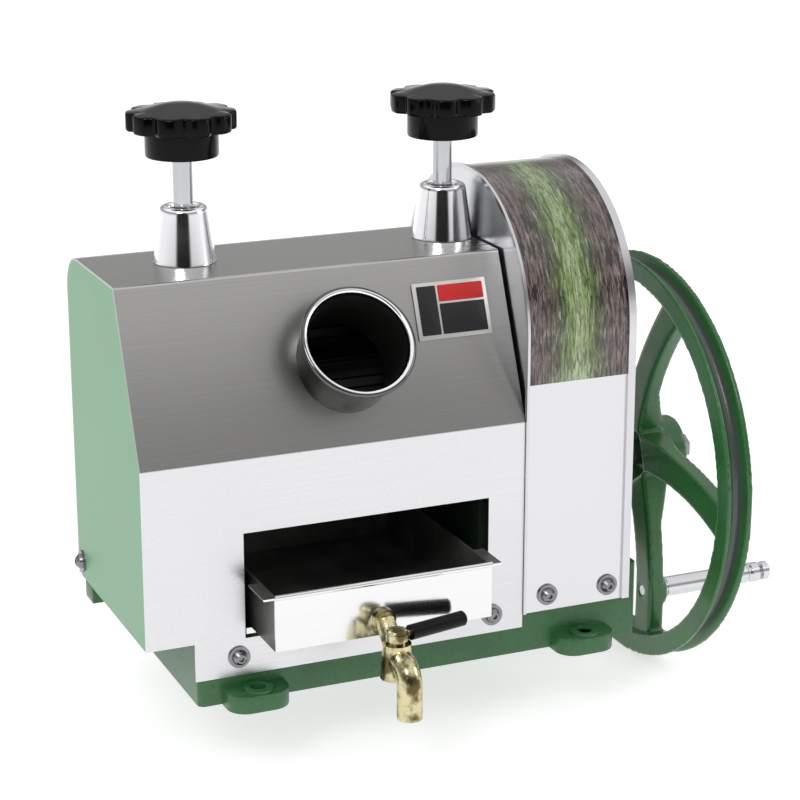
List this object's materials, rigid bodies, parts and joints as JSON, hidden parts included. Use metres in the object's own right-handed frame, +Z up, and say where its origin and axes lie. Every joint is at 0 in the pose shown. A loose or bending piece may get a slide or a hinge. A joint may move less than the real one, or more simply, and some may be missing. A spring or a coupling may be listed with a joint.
{
  "type": "manual sugarcane juicer",
  "caption": "Bench-top hand-cranked sugarcane juicer with fluted rollers, a folded steel cover, feed tube, gear cover, spoked handwheel, sliding juice tray with tap and star-knob screws.",
  "frame": {"origin": "centre of the cast base's underside, on the bench top", "axes": "+X along the rollers towards the handwheel, +Y to the back, +Z up"},
  "size_m": [0.5544, 0.354, 0.4675],
  "materials": {
    "green_casting": "semi-gloss",
    "green_sheet": "semi-gloss",
    "stainless": "brushed",
    "printed_cover": "gloss",
    "machined_steel": "machined",
    "bronze": "machined",
    "brass": "polished",
    "chrome": "polished",
    "black_plastic": "gloss",
    "black_rubber": "matte"
  },
  "bodies": {
    "frame": {"base_frame": "green_casting", "wall_left": "green_casting", "wall_right": "green_casting", "wall_feet": "machined_steel", "screw_bridges": "machined_steel", "lower_bushes": "bronze", "input_bushes": "bronze", "outboard_bearing": "green_casting", "main_cover": "stainless", "feed_tube": "stainless", "left_side_panel": "green_sheet", "gear_cover": "printed_cover", "gear_cover_plate_left": "green_sheet", "gear_cover_plate_right": "green_sheet", "gear_cover_trim": "stainless", "outlet_chute": "stainless", "turn_plate": "stainless", "thrust_pads": "machined_steel", "screw_cups": "chrome", "tray_rails": "stainless", "front_bolts": "stainless", "gear_cover_bolts": "stainless", "side_panel_bolt": "stainless", "block_springs": "machined_steel", "roller_scrapers": "stainless", "tie_rods": "machined_steel"},
    "top_carriage": {"bearing_blocks": "green_casting", "top_bushes": "bronze"},
    "top_roller_set": {"top_roller": "machined_steel", "top_roller_gear": "machined_steel", "drive_gear": "machined_steel"},
    "front_roller_set": {"front_roller": "machined_steel", "front_roller_gear": "machined_steel"},
    "rear_roller_set": {"rear_roller": "machined_steel", "rear_roller_gear": "machined_steel"},
    "crank": {"input_shaft": "machined_steel", "drive_pinion": "machined_steel", "handwheel": "green_casting", "wheel_key": "machined_steel", "wheel_bolt": "machined_steel", "handle_spindle": "machined_steel"},
    "handle_grip": {"handle_sleeve": "machined_steel"},
    "screw_left": {"adjusting_screw_left": "machined_steel"},
    "knob_left": {"star_knob_left": "black_plastic"},
    "screw_right": {"adjusting_screw_right": "machined_steel"},
    "knob_right": {"star_knob_right": "black_plastic"},
    "tray": {"juice_tray": "stainless", "tap_body": "brass", "tap_nut": "brass"},
    "tap_turn": {"tap_plug": "brass", "tap_lever": "brass", "tap_grip": "black_rubber"}
  },
  "joints": [
    {"name": "carriage_lift", "type": "slide", "parent": "frame", "child": "top_carriage", "axis": [0, 0, 1], "range_m": [0, 0.0015], "stiffness_N_per_m": 60000, "deforming": ["block_springs"]},
    {"name": "top_roller_spin", "type": "hinge", "parent": "top_carriage", "child": "top_roller_set", "pos_m": [-0.042, -0.01, 0.2375], "axis": [1, 0, 0], "continuous": true},
    {"name": "front_roller_spin", "type": "hinge", "parent": "frame", "child": "front_roller_set", "pos_m": [-0.042, -0.05243, 0.19507], "axis": [1, 0, 0], "continuous": true},
    {"name": "rear_roller_spin", "type": "hinge", "parent": "frame", "child": "rear_roller_set", "pos_m": [-0.042, 0.01817, 0.18453], "axis": [1, 0, 0], "continuous": true},
    {"name": "input_spin", "type": "hinge", "parent": "frame", "child": "crank", "pos_m": [0.2, -0.01, 0.1055], "axis": [1, 0, 0], "continuous": true},
    {"name": "handle_spin", "type": "hinge", "parent": "crank", "child": "handle_grip", "pos_m": [0.28, -0.03825, -0.00081], "axis": [1, 0, 0], "continuous": true},
    {"name": "screw_left_lift", "type": "slide", "parent": "frame", "child": "screw_left", "axis": [0, 0, 1], "range_m": [0, 0.006]},
    {"name": "knob_left_turn", "type": "hinge", "parent": "screw_left", "child": "knob_left", "pos_m": [-0.142, -0.01, 0.38], "axis": [0, 0, 1], "range_deg": [0, 1080]},
    {"name": "screw_right_lift", "type": "slide", "parent": "frame", "child": "screw_right", "axis": [0, 0, 1], "range_m": [0, 0.006]},
    {"name": "knob_right_turn", "type": "hinge", "parent": "screw_right", "child": "knob_right", "pos_m": [0.058, -0.01, 0.38], "axis": [0, 0, 1], "range_deg": [0, 1080]},
    {"name": "tray_slide", "type": "slide", "parent": "frame", "child": "tray", "axis": [0, -1, 0], "range_m": [0, 0.11]},
    {"name": "tap_turn", "type": "hinge", "parent": "tray", "child": "tap_turn", "pos_m": [-0.048, -0.172, 0.0606], "axis": [0, 0, 1], "range_deg": [-90, 0]}
  ],
  "couplings": [
    {"joint": "front_roller_spin", "follows": "top_roller_spin", "ratio": -1},
    {"joint": "rear_roller_spin", "follows": "top_roller_spin", "ratio": -1},
    {"joint": "input_spin", "follows": "top_roller_spin", "ratio": -2.6667},
    {"joint": "knob_left_turn", "follows": "screw_left_lift", "rad_per_m": 3141.6},
    {"joint": "knob_right_turn", "follows": "screw_right_lift", "rad_per_m": 3141.6}
  ]
}
